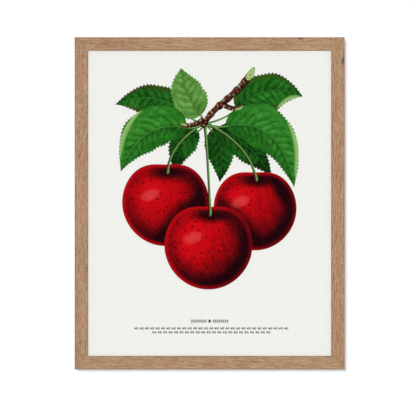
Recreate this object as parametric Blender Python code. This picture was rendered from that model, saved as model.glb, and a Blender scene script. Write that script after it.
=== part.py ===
"""A framed art print for a wall: a mitred oak frame that holds a sheet of picture glass, the print on its
paper and a back panel, with the fastenings that keep them in and the hanger that carries it all.

Metres, +Z up. The picture faces -Y and the wall is the plane y = 0. The origin is the middle notch of the
hanger, where the wall's nail carries the frame. Left and right are as seen from the front.
"""

import math

import bmesh
import bpy
from mathutils import Matrix, Vector

# The sheet sets the size: the print, the glass and the back panel are all cut to it
SHEET_WIDTH = 0.400
SHEET_HEIGHT = 0.500
GLASS_THICKNESS = 0.002
PAPER_THICKNESS = 0.0003
PANEL_THICKNESS = 0.003

# The moulding, seen in section
FACE_WIDTH = 0.0215
FRAME_DEPTH = 0.022
LIP_THICKNESS = 0.0035
LIP_COVER = 0.0045
SHEET_PLAY = 0.001
FRONT_ROUNDING = 0.0010
BACK_ROUNDING = 0.0006
ROUNDING_STEPS = 3
MITRE_GAP = 0.0002

# Pieces that touch keep this much air, and the print's inked face has a little more before the glass
GAP = 0.0003
INK_SPACE = 0.0006

# Spring steel points, driven into the rebate's wall, that bend aside to let the back panel out
TAB_WIDTH = 0.007
TAB_THICKNESS = 0.0005
TAB_REACH = 0.011
TAB_ROOT = 0.006
TAB_TIP_RADIUS = 0.0028
TABS_ON_A_STILE = (-0.36, 0.0, 0.36)
TABS_ON_A_RAIL = (-0.27, 0.27)

# V-shaped corner nails, pressed into each mitre from behind
NAIL_LEG = 0.0050
NAIL_THICKNESS = 0.0006
NAIL_DEPTH = 0.010
NAIL_SINK = 0.0002
NAILS_ALONG_MITRE = (0.0105, 0.0175)

# The sawtooth hanger, a stamped strip whose raised middle has a toothed lower edge
HANGER_LENGTH = 0.050
HANGER_HEIGHT = 0.009
HANGER_THICKNESS = 0.0008
HANGER_STAND_OFF = 0.0018
RAISED_LENGTH = 0.030
RAMP_LENGTH = 0.0020
TOOTH_PITCH = 0.003
TOOTH_DEPTH = 0.0015
NOTCH_COUNT = 9
HANGER_CORNER_RADIUS = 0.003
SCREW_FROM_END = 0.0042

# The two screws through the hanger's ends
SHANK_RADIUS = 0.0011
SHANK_LENGTH = 0.010
SCREW_HEAD_RADIUS = 0.0026
SCREW_HEAD_HEIGHT = 0.0013
SCREW_SLOT_WIDTH = 0.0006
SCREW_SLOT_DEPTH = 0.0007
SCREW_SLOT_TURN_DEG = 35
ROUND_SIDES = 24
SMOOTH_BELOW_DEG = 35

# The two bumpers that keep the frame's foot off the wall
BUMPER_RADIUS = 0.005
BUMPER_THICKNESS = 0.003
BUMPER_ROUNDING = 0.0008
BUMPER_FROM_END = 0.024

# Depths along Y, worked out from the wall forwards
BACK_Y = -BUMPER_THICKNESS
FRONT_Y = BACK_Y - FRAME_DEPTH
GLASS_FRONT_Y = FRONT_Y + LIP_THICKNESS + GAP
PAPER_FRONT_Y = GLASS_FRONT_Y + GLASS_THICKNESS + INK_SPACE
PANEL_FRONT_Y = PAPER_FRONT_Y + PAPER_THICKNESS + GAP
TAB_FRONT_Y = PANEL_FRONT_Y + PANEL_THICKNESS + GAP

# The opening that shows from the front, half its width and half its height
SIGHT_X = SHEET_WIDTH / 2 - LIP_COVER
SIGHT_Z = SHEET_HEIGHT / 2 - LIP_COVER
REBATE_WIDTH = LIP_COVER + SHEET_PLAY

# The hanger sits in the middle of the top rail's back, and its middle notch is the origin
BACK_STRIP_MIDDLE = (REBATE_WIDTH + FACE_WIDTH) / 2
NOTCH_UNDER_MIDDLE = HANGER_HEIGHT / 2 - TOOTH_DEPTH
CENTRE_Z = NOTCH_UNDER_MIDDLE - BACK_STRIP_MIDDLE - SIGHT_Z

OAK = ((0.429, 0.262, 0.159), 0.55, 0.0)
GLASS = ((0.90, 0.94, 0.93), 0.05, 0.0)
PAPER = ((0.863, 0.871, 0.831), 0.80, 0.0)
FIBREBOARD = ((0.260, 0.155, 0.085), 0.80, 0.0)
STEEL = ((0.420, 0.420, 0.430), 0.35, 1.0)
BRASSED_STEEL = ((0.700, 0.500, 0.220), 0.32, 1.0)
RUBBER = ((0.035, 0.033, 0.031), 0.70, 0.0)


def clear_scene():
    for item in list(bpy.data.objects):
        bpy.data.objects.remove(item)


def material(name, look):
    colour, roughness, metallic = look
    made = bpy.data.materials.new(name)
    made.use_nodes = True
    shader = made.node_tree.nodes["Principled BSDF"]
    shader.inputs["Base Color"].default_value = (*colour, 1.0)
    shader.inputs["Roughness"].default_value = roughness
    shader.inputs["Metallic"].default_value = metallic
    return made


def add_object(name, shape, parent):
    """Turns a bmesh into a named object under the empty that marks the opening's centre."""
    bmesh.ops.recalc_face_normals(shape, faces=shape.faces)
    mesh = bpy.data.meshes.new(name)
    shape.to_mesh(mesh)
    shape.free()
    made = bpy.data.objects.new(name, mesh)
    made.parent = parent
    bpy.context.scene.collection.objects.link(made)
    return made


def add_piece(name, shape, finish, parent):
    made = add_object(name, shape, parent)
    made.data.materials.append(finish)
    return made


def add_cutter(name, shape, parent):
    made = add_object(name, shape, parent)
    made.hide_render = True
    made.display_type = "WIRE"
    return made


def shade_as_turned(made):
    made.data.shade_smooth()
    made.data.set_sharp_from_angle(angle=math.radians(SMOOTH_BELOW_DEG))


def loft(sections):
    """A closed body through sections that hold the same number of points, each going round the same way."""
    shape = bmesh.new()
    rings = [[shape.verts.new(point) for point in section] for section in sections]
    for near, far in zip(rings, rings[1:]):
        for i in range(len(near)):
            j = (i + 1) % len(near)
            shape.faces.new((near[i], near[j], far[j], far[i]))
    shape.faces.new(list(reversed(rings[0])))
    shape.faces.new(rings[-1])
    return shape


def plate(outline, front_y, thickness):
    """A flat piece from an outline of (x, z) points, standing in the picture's plane."""
    front = [Vector((x, front_y, z)) for x, z in outline]
    back = [Vector((x, front_y + thickness, z)) for x, z in outline]
    return loft([front, back])


def rectangle(width, height):
    half_width = width / 2
    half_height = height / 2
    return [
        (-half_width, -half_height),
        (half_width, -half_height),
        (half_width, half_height),
        (-half_width, half_height),
    ]


def arc(centre, radius, start_deg, end_deg, steps):
    """Points on an arc in the plane of an outline, both ends included."""
    points = []
    for i in range(steps + 1):
        angle = math.radians(start_deg + (end_deg - start_deg) * i / steps)
        points.append((centre[0] + radius * math.cos(angle), centre[1] + radius * math.sin(angle)))
    return points


def turned(profile, sides):
    """A round body about Y through a profile of (radius, y) points, the first and last on the axis."""
    shape = bmesh.new()
    first = shape.verts.new((0, profile[0][1], 0))
    last = shape.verts.new((0, profile[-1][1], 0))
    rings = []
    for radius, y in profile[1:-1]:
        ring = []
        for i in range(sides):
            angle = 2 * math.pi * i / sides
            ring.append(shape.verts.new((radius * math.cos(angle), y, radius * math.sin(angle))))
        rings.append(ring)
    for i in range(sides):
        j = (i + 1) % sides
        shape.faces.new((first, rings[0][i], rings[0][j]))
        shape.faces.new((last, rings[-1][j], rings[-1][i]))
        for near, far in zip(rings, rings[1:]):
            shape.faces.new((near[i], far[i], far[j], near[j]))
    return shape


# The four lengths of moulding
def moulding_section():
    """The moulding's outline as (outwards from the opening, y): an L whose foot is the lip over the glass."""
    front = FRONT_ROUNDING
    back = BACK_ROUNDING
    lip_back = FRONT_Y + LIP_THICKNESS
    section = arc((front, FRONT_Y + front), front, 180, 270, ROUNDING_STEPS)
    section += arc((FACE_WIDTH - front, FRONT_Y + front), front, 270, 360, ROUNDING_STEPS)
    section += arc((FACE_WIDTH - back, BACK_Y - back), back, 0, 90, ROUNDING_STEPS)
    section += [(REBATE_WIDTH, BACK_Y), (REBATE_WIDTH, lip_back), (0.0, lip_back)]
    return section


def mitred_length(name, sight_half_length, from_centre, turn_deg, finish, parent):
    """One side of the frame: X runs along it, Z outwards, and both its ends are cut at 45 degrees."""
    ends = []
    for side in (-1, 1):
        reach = [side * (sight_half_length + outwards - MITRE_GAP / 2) for outwards, _ in moulding_section()]
        points = [Vector((x, y, outwards)) for x, (outwards, y) in zip(reach, moulding_section())]
        ends.append(points)
    made = add_piece(name, loft(ends), finish, parent)
    turn = math.radians(turn_deg)
    made.rotation_euler = (0, turn, 0)
    made.location = (from_centre * math.sin(turn), 0, from_centre * math.cos(turn))
    return made


def cut_by(target, cutters):
    """Takes the cutters out of a piece, with one Boolean on a collection of them."""
    group = bpy.data.collections.new("cuts_in_" + target.name)
    bpy.context.scene.collection.children.link(group)
    for cutter in cutters:
        group.objects.link(cutter)
    cut = target.modifiers.new("cuts", "BOOLEAN")
    cut.operation = "DIFFERENCE"
    cut.solver = "EXACT"
    cut.operand_type = "COLLECTION"
    cut.collection = group


# Spring steel points
def tab_outline(root, margin):
    """A tongue along +Z from inside the wood, with its tip's corners rounded. The margin is for its slot."""
    half = TAB_WIDTH / 2 + margin
    radius = TAB_TIP_RADIUS
    tip = TAB_REACH
    outline = [(-half, -root), (half, -root)]
    outline += arc((half - radius, tip - radius), radius, 0, 90, ROUNDING_STEPS)
    outline += arc((radius - half, tip - radius), radius, 90, 180, ROUNDING_STEPS)
    return outline


def tab_places():
    """(side, its place along the side, degrees that turn +Z to point from that side into the opening)."""
    places = []
    for share in TABS_ON_A_STILE:
        places.append(("left", share * 2 * SIGHT_Z, 90))
        places.append(("right", share * 2 * SIGHT_Z, -90))
    for share in TABS_ON_A_RAIL:
        places.append(("top", share * 2 * SIGHT_X, 180))
        places.append(("bottom", share * 2 * SIGHT_X, 0))
    return places


def tab_matrix(side, along, turn_deg):
    wall_x = SIGHT_X + REBATE_WIDTH
    wall_z = SIGHT_Z + REBATE_WIDTH
    corner = {
        "left": (-wall_x, 0, along),
        "right": (wall_x, 0, along),
        "top": (along, 0, wall_z),
        "bottom": (along, 0, -wall_z),
    }[side]
    return Matrix.Translation(corner) @ Matrix.Rotation(math.radians(turn_deg), 4, "Y")


def make_tabs(finish, parent):
    """The points, and for each side of the frame the cutters of the slots that they are driven into."""
    cutters = {"left": [], "right": [], "top": [], "bottom": []}
    for number, (side, along, turn_deg) in enumerate(tab_places(), start=1):
        shape = plate(tab_outline(TAB_ROOT, 0.0), TAB_FRONT_Y, TAB_THICKNESS)
        tab = add_piece(f"spring_point_{number:02d}", shape, finish, parent)
        tab.matrix_local = tab_matrix(side, along, turn_deg)
        slot_outline = tab_outline(TAB_ROOT + GAP, GAP)
        slot_shape = plate(slot_outline, TAB_FRONT_Y - GAP, TAB_THICKNESS + 2 * GAP)
        slot = add_cutter(f"slot_{number:02d}", slot_shape, parent)
        slot.matrix_local = tab_matrix(side, along, turn_deg)
        cutters[side].append(slot)
    return cutters


# Corner nails
def v_outline(leg, thickness):
    """A V about +X, whose point is towards +X and whose two legs lie at 45 degrees to it."""
    slant = math.sqrt(0.5)
    apex = thickness / 2 / slant
    outline = [(apex, 0.0)]
    for side in (1, -1):
        outer = (-leg * slant + thickness / 2 * slant, side * (leg * slant + thickness / 2 * slant))
        inner = (-leg * slant - thickness / 2 * slant, side * (leg * slant - thickness / 2 * slant))
        if side == 1:
            outline += [outer, inner, (-apex, 0.0)]
        else:
            outline += [inner, outer]
    return outline


def make_corner_nails(finish, parent):
    """Two nails across each mitre, and for each side of the frame the cutters of their pockets."""
    cutters = {"left": [], "right": [], "top": [], "bottom": []}
    number = 0
    for side_x, side_z in ((-1, 1), (1, 1), (1, -1), (-1, -1)):
        outwards_deg = math.degrees(math.atan2(side_z, side_x))
        for outwards in NAILS_ALONG_MITRE:
            number += 1
            place = (side_x * (SIGHT_X + outwards), 0, side_z * (SIGHT_Z + outwards))
            turn = Matrix.Rotation(math.radians(-outwards_deg), 4, "Y")
            matrix = Matrix.Translation(place) @ turn
            front_y = BACK_Y - NAIL_SINK - NAIL_DEPTH
            shape = plate(v_outline(NAIL_LEG, NAIL_THICKNESS), front_y, NAIL_DEPTH)
            nail = add_piece(f"corner_nail_{number}", shape, finish, parent)
            nail.matrix_local = matrix
            pocket_outline = v_outline(NAIL_LEG + GAP, NAIL_THICKNESS + 2 * GAP)
            pocket_shape = plate(pocket_outline, front_y - GAP, NAIL_DEPTH + 4 * GAP)
            pocket = add_cutter(f"pocket_{number}", pocket_shape, parent)
            pocket.matrix_local = matrix
            cutters["left" if side_x < 0 else "right"].append(pocket)
            cutters["bottom" if side_z < 0 else "top"].append(pocket)
    return cutters


# The hanger and its screws
def corner_inset(x):
    """How far the strip's top and bottom edges draw in at x, where its corners are rounded."""
    past = abs(x) - (HANGER_LENGTH / 2 - HANGER_CORNER_RADIUS)
    if past <= 0:
        return 0.0
    return HANGER_CORNER_RADIUS - math.sqrt(max(0.0, HANGER_CORNER_RADIUS**2 - past**2))


def hanger_stations():
    """(x, how far the strip stands off the wood, height of its lower edge) from one end to the other."""
    raised_end = RAISED_LENGTH / 2
    foot_end = raised_end + RAMP_LENGTH
    low = -TOOTH_DEPTH
    half = []
    for i in range(2 * (NOTCH_COUNT // 2) + 2):
        height = 0.0 if i % 2 == 0 else low
        half.append((i * TOOTH_PITCH / 2, HANGER_STAND_OFF, height))
    half += [(raised_end, HANGER_STAND_OFF, low), (foot_end, GAP, low)]
    for i in range(ROUNDING_STEPS + 1):
        angle = math.radians(90 * i / ROUNDING_STEPS)
        x = HANGER_LENGTH / 2 - HANGER_CORNER_RADIUS + HANGER_CORNER_RADIUS * math.sin(angle)
        half.append((x, GAP, low + corner_inset(x)))
    mirrored = [(-x, stand_off, height) for x, stand_off, height in reversed(half[1:])]
    return mirrored + half


def make_hanger(finish, parent):
    """In its own frame the wood is at y = 0 and the middle notch at the origin."""
    sections = []
    for x, stand_off, low in hanger_stations():
        top = HANGER_HEIGHT - TOOTH_DEPTH - corner_inset(x)
        far = stand_off + HANGER_THICKNESS
        corners = ((stand_off, top), (stand_off, low), (far, low), (far, top))
        sections.append([Vector((x, y, z)) for y, z in corners])
    hanger = add_piece("sawtooth_hanger", loft(sections), finish, parent)
    hanger.location = (0, BACK_Y, -CENTRE_Z)
    return hanger


def screw_profile():
    """(radius, y) of a screw whose head lies on the hanger, from its point inside the wood to its crown."""
    seat = 2 * GAP + HANGER_THICKNESS
    return [
        (0.0, -SHANK_LENGTH),
        (0.35 * SHANK_RADIUS, -SHANK_LENGTH),
        (SHANK_RADIUS, -SHANK_LENGTH + 2.5 * SHANK_RADIUS),
        (SHANK_RADIUS, seat),
        (SCREW_HEAD_RADIUS, seat),
        (SCREW_HEAD_RADIUS, seat + 0.35 * SCREW_HEAD_HEIGHT),
        (0.80 * SCREW_HEAD_RADIUS, seat + 0.80 * SCREW_HEAD_HEIGHT),
        (0.40 * SCREW_HEAD_RADIUS, seat + SCREW_HEAD_HEIGHT),
        (0.0, seat + SCREW_HEAD_HEIGHT),
    ]


def pilot_profile():
    """The hole that a screw's shank goes through: right through the hanger and into the rail."""
    radius = SHANK_RADIUS + GAP
    bottom = -SHANK_LENGTH - GAP
    mouth = GAP + 2 * HANGER_THICKNESS
    return [(0.0, bottom), (radius, bottom), (radius, mouth), (0.0, mouth)]


def make_screws(hanger, finish, parent):
    """A screw through each end of the hanger. Returns the cutters of their holes in the top rail."""
    pilots = []
    crown = 2 * GAP + HANGER_THICKNESS + SCREW_HEAD_HEIGHT
    for name, side in (("left", -1), ("right", 1)):
        x = side * (HANGER_LENGTH / 2 - SCREW_FROM_END)
        place = (x, BACK_Y, HANGER_HEIGHT / 2 - TOOTH_DEPTH - CENTRE_Z)
        screw = add_piece(f"hanger_screw_{name}", turned(screw_profile(), ROUND_SIDES), finish, parent)
        screw.location = place
        shade_as_turned(screw)
        slot_outline = rectangle(3 * SCREW_HEAD_RADIUS, SCREW_SLOT_WIDTH)
        slot_shape = plate(slot_outline, crown - SCREW_SLOT_DEPTH, 2 * SCREW_SLOT_DEPTH)
        slot = add_cutter(f"screw_slot_{name}", slot_shape, parent)
        slot.location = place
        slot.rotation_euler = (0, math.radians(SCREW_SLOT_TURN_DEG * side), 0)
        cut_by(screw, [slot])
        pilot = add_cutter(f"pilot_{name}", turned(pilot_profile(), ROUND_SIDES), parent)
        pilot.location = place
        pilots.append(pilot)
    cut_by(hanger, pilots)
    return pilots


def make_bumpers(finish, parent):
    """Rubber discs behind the two lower corners. Their flat faces are the plane of the wall."""
    inner = BUMPER_RADIUS - BUMPER_ROUNDING
    profile = [(0.0, BACK_Y + GAP), (BUMPER_RADIUS, BACK_Y + GAP)]
    profile += arc((inner, -BUMPER_ROUNDING), BUMPER_ROUNDING, 0, 90, ROUNDING_STEPS)
    profile += [(0.0, 0.0)]
    for name, side in (("left", -1), ("right", 1)):
        bumper = add_piece(f"bumper_{name}", turned(profile, ROUND_SIDES), finish, parent)
        x = side * (SIGHT_X + FACE_WIDTH - BUMPER_FROM_END)
        bumper.location = (x, 0, -(SIGHT_Z + BACK_STRIP_MIDDLE))
        shade_as_turned(bumper)


def make_sheets(finishes, parent):
    """The glass, the print and the back panel, all cut to the sheet's size and stacked from the lip back."""
    outline = rectangle(SHEET_WIDTH, SHEET_HEIGHT)
    stack = [
        ("glazing", GLASS_FRONT_Y, GLASS_THICKNESS, finishes["glass"]),
        ("print_sheet", PAPER_FRONT_Y, PAPER_THICKNESS, finishes["paper"]),
        ("back_panel", PANEL_FRONT_Y, PANEL_THICKNESS, finishes["fibreboard"]),
    ]
    for name, front_y, thickness, finish in stack:
        add_piece(name, plate(outline, front_y, thickness), finish, parent)


def make_frame():
    clear_scene()
    finishes = {
        "oak": material("oak", OAK),
        "glass": material("picture_glass", GLASS),
        "paper": material("art_paper", PAPER),
        "fibreboard": material("fibreboard", FIBREBOARD),
        "steel": material("spring_steel", STEEL),
        "brassed": material("brassed_steel", BRASSED_STEEL),
        "rubber": material("rubber", RUBBER),
    }
    centre = bpy.data.objects.new("opening_centre", None)
    centre.location = (0, 0, CENTRE_Z)
    bpy.context.scene.collection.objects.link(centre)

    sides = {
        "top": mitred_length("rail_top", SIGHT_X, SIGHT_Z, 0, finishes["oak"], centre),
        "right": mitred_length("stile_right", SIGHT_Z, SIGHT_X, 90, finishes["oak"], centre),
        "bottom": mitred_length("rail_bottom", SIGHT_X, SIGHT_Z, 180, finishes["oak"], centre),
        "left": mitred_length("stile_left", SIGHT_Z, SIGHT_X, 270, finishes["oak"], centre),
    }
    make_sheets(finishes, centre)
    slots = make_tabs(finishes["steel"], centre)
    pockets = make_corner_nails(finishes["steel"], centre)
    hanger = make_hanger(finishes["brassed"], centre)
    pilots = make_screws(hanger, finishes["brassed"], centre)
    make_bumpers(finishes["rubber"], centre)
    for side, length in sides.items():
        cutters = slots[side] + pockets[side]
        if side == "top":
            cutters += pilots
        cut_by(length, cutters)


make_frame()
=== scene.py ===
# %% [markdown]
# # A framed botanical print, finished in Blender
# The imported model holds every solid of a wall-hung print: four mitred lengths of oak, a sheet of glass, the
# printed sheet, a back panel, and the metalwork behind. Their sizes are settled there. This lesson gives each
# one its finish, draws the design on the paper, and sets up the wall, the light and the camera.

# %% Load the solids and keep their box
import math

import bpy
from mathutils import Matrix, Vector


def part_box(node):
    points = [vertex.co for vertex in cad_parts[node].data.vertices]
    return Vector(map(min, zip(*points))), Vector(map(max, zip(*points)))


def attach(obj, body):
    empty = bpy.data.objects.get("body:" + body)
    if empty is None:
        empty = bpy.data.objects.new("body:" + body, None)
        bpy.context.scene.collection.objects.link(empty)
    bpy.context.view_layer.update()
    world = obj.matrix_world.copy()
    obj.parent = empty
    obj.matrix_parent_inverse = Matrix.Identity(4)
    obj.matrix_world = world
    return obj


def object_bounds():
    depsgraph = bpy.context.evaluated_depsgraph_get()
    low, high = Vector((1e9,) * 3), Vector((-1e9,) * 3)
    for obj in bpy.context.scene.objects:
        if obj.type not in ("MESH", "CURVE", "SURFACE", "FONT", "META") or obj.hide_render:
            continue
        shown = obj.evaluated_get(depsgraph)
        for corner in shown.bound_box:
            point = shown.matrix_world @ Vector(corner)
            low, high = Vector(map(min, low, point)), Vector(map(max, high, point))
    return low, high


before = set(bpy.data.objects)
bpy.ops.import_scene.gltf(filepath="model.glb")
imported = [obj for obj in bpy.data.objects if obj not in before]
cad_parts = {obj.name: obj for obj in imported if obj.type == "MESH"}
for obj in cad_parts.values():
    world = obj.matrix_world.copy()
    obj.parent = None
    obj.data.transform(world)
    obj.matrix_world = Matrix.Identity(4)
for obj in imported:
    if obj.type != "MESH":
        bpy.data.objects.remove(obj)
cad_low, cad_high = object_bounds()
print("the solids' box in mm:", [round(1000 * side) for side in cad_high - cad_low])

# %% [markdown]
# Everything that follows is placed from the solids themselves. The opening that shows the print is the part
# of the glass that the four lengths of oak don't cover, and the print's own face is the front of its sheet.
# Reading these from the model, and not typing them again, means that a change there moves the design too.

# %% Name the places that the rest is built from
rail_low, rail_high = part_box("rail_top")
stile_low, stile_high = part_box("stile_right")
sheet_low, sheet_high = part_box("print_sheet")
MM = 0.001
FACE_WIDTH = rail_high.z - rail_low.z
FRONT_Y = rail_low.y
PRINT_Y = sheet_low.y
CENTRE_Z = (sheet_low.z + sheet_high.z) / 2
SIGHT_X = stile_low.x
SIGHT_Z = rail_low.z - CENTRE_Z
print("the opening in mm:", round(2000 * SIGHT_X), "by", round(2000 * SIGHT_Z))

# %% [markdown]
# ## The camera
# The photograph looks at the frame square on, with the opening's sides parallel and none of the moulding's
# inner faces showing. A long lens far away does that and still behaves as a camera when the view moves round.
# The outline's four edges in the picture give the scale, and how far the frame sits from the middle.

# %% Set the camera from the outline's edges in the picture
PICTURE_WIDTH, PICTURE_HEIGHT = 416, 403
EDGE_LEFT, EDGE_RIGHT, EDGE_TOP, EDGE_BOTTOM = 74.57, 344.72, 37.15, 369.5
LENS_MM, SENSOR_MM = 180, 36

across_scale = (cad_high.x - cad_low.x) / (EDGE_RIGHT - EDGE_LEFT)
upright_scale = (cad_high.z - cad_low.z) / (EDGE_BOTTOM - EDGE_TOP)
pixel = (across_scale + upright_scale) / 2
distance = PICTURE_WIDTH * pixel * LENS_MM / SENSOR_MM
right_of_middle = ((EDGE_LEFT + EDGE_RIGHT) / 2 - PICTURE_WIDTH / 2) * pixel
under_middle = ((EDGE_TOP + EDGE_BOTTOM) / 2 - PICTURE_HEIGHT / 2) * pixel

camera = bpy.data.objects.new("camera", bpy.data.cameras.new("camera"))
bpy.context.scene.collection.objects.link(camera)
bpy.context.scene.camera = camera
camera.data.lens = LENS_MM
camera.data.sensor_width = SENSOR_MM
camera.location = (-right_of_middle, FRONT_Y - distance, CENTRE_Z + under_middle)
camera.rotation_euler = (math.radians(90), 0, 0)
print(f"the camera is {distance:.2f} m away, and a pixel is {1000 * pixel:.3f} mm on the frame's face")

# %% [markdown]
# ## A small language for finishes
# Blender's materials are trees of nodes, and a tree typed link by link hides the sum it works out. So one
# class stands for a number on its way through the tree: adding two of them adds the Math node that does it.
# Colours and directions have nodes of their own, because a Math node would turn a colour grey.

# %% A number on its way through a material
def adds_node(operation, reflected=False):
    """A method that adds the Math node of that operation. Reflected, it puts the other number first."""
    def method(self, other):
        first, second = (other, self) if reflected else (self, other)
        return self.finish.math(operation, first, second)
    return method


class Value:
    def __init__(self, finish, socket):
        self.finish = finish
        self.socket = socket

    __add__ = __radd__ = adds_node("ADD")
    __sub__ = adds_node("SUBTRACT")
    __rsub__ = adds_node("SUBTRACT", reflected=True)
    __mul__ = __rmul__ = adds_node("MULTIPLY")
    __truediv__ = adds_node("DIVIDE")
    __pow__ = adds_node("POWER")


print("Value carries + - * / and ** into the node tree")

# %% [markdown]
# A finish is one material while it is being made. Its node() method is the only place that adds a node: it
# sets the node's own settings first, such as an operation or a ramp's stops, and then fills its sockets with
# numbers, colours or links. The named methods under it are the few sums that wood, ink and metal share.

# %% A material while it is being made
def screen(red, green, blue):
    """A colour as a screen shows it, 0 to 255, as the light that Blender works with."""
    shares = [channel / 255 for channel in (red, green, blue)]
    return (*[s / 12.92 if s <= 0.04045 else ((s + 0.055) / 1.055) ** 2.4 for s in shares], 1.0)


class Finish:
    """A material by its new name, or a world, while its nodes are made."""

    def __init__(self, owner):
        if isinstance(owner, str):
            owner = bpy.data.materials.new(owner)
        owner.use_nodes = True
        self.material = owner
        self.tree = owner.node_tree
        self.shader = self.tree.nodes.get("Principled BSDF")

    def node(self, kind, settings=None, sockets=None, out=0):
        made = self.tree.nodes.new("ShaderNode" + kind)
        for name, value in (settings or {}).items():
            if name == "stops":
                self.fill_ramp(made.color_ramp, value)
            else:
                setattr(made, name, value)
        for name, value in (sockets or {}).items():
            self.fill(made.inputs[name], value)
        return Value(self, made.outputs[out])

    def fill(self, socket, value):
        if isinstance(value, Value):
            self.tree.links.new(value.socket, socket)
        else:
            socket.default_value = value

    def fill_ramp(self, ramp, stops):
        while len(ramp.elements) < len(stops):
            ramp.elements.new(1.0)
        for element, (place, colour) in zip(ramp.elements, stops):
            element.position = place
            element.color = colour

    def set(self, **sockets):
        """Fills the shader's own sockets: Base_Color=... fills Base Color."""
        for name, value in sockets.items():
            self.fill(self.shader.inputs[name.replace("_", " ")], value)

    def math(self, operation, first, second=0.0, third=0.0):
        return self.node("Math", {"operation": operation}, {0: first, 1: second, 2: third})

    def smooth(self, value, start, end):
        """0 before start and 1 after end, with a soft turn between them. start may be the higher."""
        return self.node("MapRange", {"interpolation_type": "SMOOTHSTEP"}, {0: value, 1: start, 2: end})

    def line(self, value, half_width, soft):
        """1 where value is near 0, within half a width, and 0 further off."""
        return 1 - self.smooth(self.math("ABSOLUTE", value), half_width, half_width + soft)

    def named(self, attribute):
        return self.node("Attribute", {"attribute_name": attribute}, out=2)

    def millimetres(self):
        """The three numbers of the place on the object, in millimetres."""
        place = self.node("TexCoord", out=3)
        split = self.node("SeparateXYZ", sockets={0: place})
        outputs = split.socket.node.outputs
        return [Value(self, outputs[i]) * 1000 for i in range(3)]

    def point(self, x, y, z):
        return self.node("CombineXYZ", sockets={0: x, 1: y, 2: z})

    def noise(self, x, y, z, detail=2.0):
        """A cloudy number about 0, mostly between -1 and 1, that changes over about 1 in each direction."""
        cloud = self.node("TexNoise", sockets={"Vector": self.point(x, y, z), "Scale": 1.0, "Detail": detail})
        return cloud * 4 - 2

    def dots(self, x, y):
        """How far the nearest of the points scattered about 1 apart on a plane is."""
        sockets = {"Vector": self.point(x, y, 0.0), "Scale": 1.0}
        return self.node("TexVoronoi", {"voronoi_dimensions": "2D"}, sockets)

    def blend(self, first, second, share):
        sockets = {0: share, 6: first, 7: second}
        return self.node("Mix", {"data_type": "RGBA"}, sockets, out=2)

    def shades(self, value, stops):
        return self.node("ValToRGB", {"stops": stops}, {0: value})

    def length(self, *sides):
        """How long the straight way is that goes this far in each direction."""
        return self.math("SQRT", sum(side * side for side in sides))

    def near(self, x, z, radius, soft):
        """1 inside a disc on the print and 0 outside it, in mm from the print's middle."""
        place = self.millimetres()
        away = self.length(place[0] - x, place[2] - (CENTRE_Z / MM + z))
        return 1 - self.smooth(away, radius, radius + soft)

    def bump(self, height, distance_m, strength=1.0):
        sockets = {"Height": height, "Distance": distance_m, "Strength": strength}
        return self.node("Bump", sockets=sockets)

    def put_on(self, *node_names):
        for name in node_names:
            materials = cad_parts[name].data.materials
            materials.clear()
            materials.append(self.material)


print("Finish makes a material in sums, and put_on() gives it to the packed solids")

# %% [markdown]
# ## The wall, the floor and the light
# The frame hangs on a white wall, and the thin soft shadow at its right and lower edges is all that shows of
# the wall. The wall is seen by the camera alone, so it takes no light from the frame's back. From behind it
# lets the view through, or nobody could look at the back. A pale floor lies far below, as in a room.

# %% Build the wall and the floor
WALL_GAP = 0.5 * MM
WALL_SIZE = 8.0
FLOOR_Z = -1.6


def flat_square(name, size, corner_of):
    """corner_of turns two distances from the square's middle into a corner. Only the camera sees it."""
    half = size / 2
    mesh = bpy.data.meshes.new(name)
    corners = [corner_of(u, v) for u, v in ((-half, -half), (half, -half), (half, half), (-half, half))]
    mesh.from_pydata(corners, [], [(0, 1, 2, 3)])
    square = bpy.data.objects.new(name, mesh)
    bpy.context.scene.collection.objects.link(square)
    square.visible_diffuse = False
    square.visible_glossy = False
    return square


wall = flat_square("wall", WALL_SIZE, lambda u, v: (u, WALL_GAP, v))
floor = flat_square("floor", 5 * WALL_SIZE, lambda u, v: (u, v, FLOOR_Z))
wall.visible_transmission = False
wall.visible_shadow = False
print("the wall faces", tuple(round(n) for n in wall.data.polygons[0].normal))

# %% [markdown]
# The photograph's wall is pure white right up to the frame, on the two sides that the light comes from. A
# plainly lit wall would go grey there, because the frame hides part of the room's light from it. So the paint
# has a little glow of its own, just enough for the open wall to pass full white, and the shadow stays. The
# glow is a little cool, because the oak throws warm light into the shadow, which is a plain grey.

# %% Paint the wall and the floor
WALL_GLOW = 0.31
GLOW_COLOUR = (0.88, 1.0, 1.04, 1)
WALL_PAINT = 0.30

paint = Finish("wall_paint")
glow = paint.node("Emission", sockets={0: GLOW_COLOUR, 1: WALL_GLOW})
matte = paint.node("BsdfDiffuse", sockets={0: (WALL_PAINT, WALL_PAINT, WALL_PAINT, 1)})
front = paint.node("AddShader", sockets={0: glow, 1: matte})
behind = paint.node("BsdfTransparent")
facing = paint.node("NewGeometry", out=6)
both = paint.node("MixShader", sockets={0: facing, 1: front, 2: behind})
paint.tree.links.new(both.socket, paint.tree.nodes["Material Output"].inputs["Surface"])
wall.data.materials.append(paint.material)

ground = Finish("pale_floor")
ground.set(Base_Color=screen(236, 236, 234), Roughness=0.9)
floor.data.materials.append(ground.material)
print("wall and floor painted")

# %% [markdown]
# The lamps are suns, which light every view alike. The key comes from the camera's side, so the print is lit
# evenly and the lip throws hardly any shadow on it. The wall has a lamp of its own, higher and further left,
# for the shadow beside the frame. Lamps that graze the front light the sides and back. The key and the side
# lamps stay out of reflections, where a lamp this strong would be a white spot on the glass or the brass.

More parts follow.
